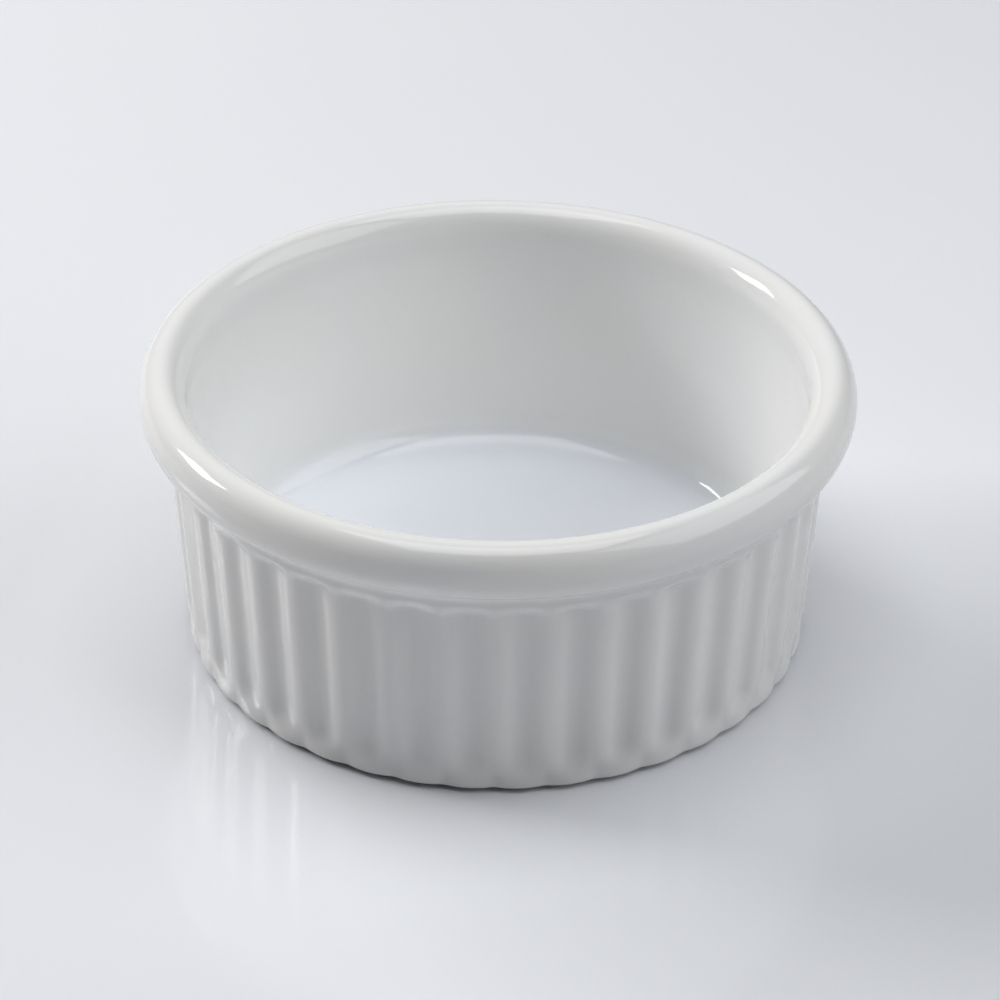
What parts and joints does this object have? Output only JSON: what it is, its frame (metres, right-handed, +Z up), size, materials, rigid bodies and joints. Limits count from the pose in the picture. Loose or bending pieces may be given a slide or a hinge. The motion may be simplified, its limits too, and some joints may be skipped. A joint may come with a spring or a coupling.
{
  "type": "ramekin",
  "caption": "Small round glazed ceramic baking dish with a rolled rim, plain collar, fluted tapering wall, flat floor and a bare foot ring.",
  "frame": {"origin": "centre of the dish on the plane it stands on, the foot ring's standing face", "axes": "+Z up along the dish's axis; +X runs out through the middle of one flute, and +Y through that of another"},
  "size_m": [0.09, 0.09, 0.0377],
  "materials": {
    "fired_clay": "matte, fine-grained, left bare on the foot ring",
    "white_glaze": "glossy white glaze, pooled at the lower ends of the flutes"
  },
  "bodies": {
    "root": {"ceramic_body": "fired_clay", "glaze_coat": "white_glaze", "underside_glaze": "white_glaze"}
  },
  "joints": []
}
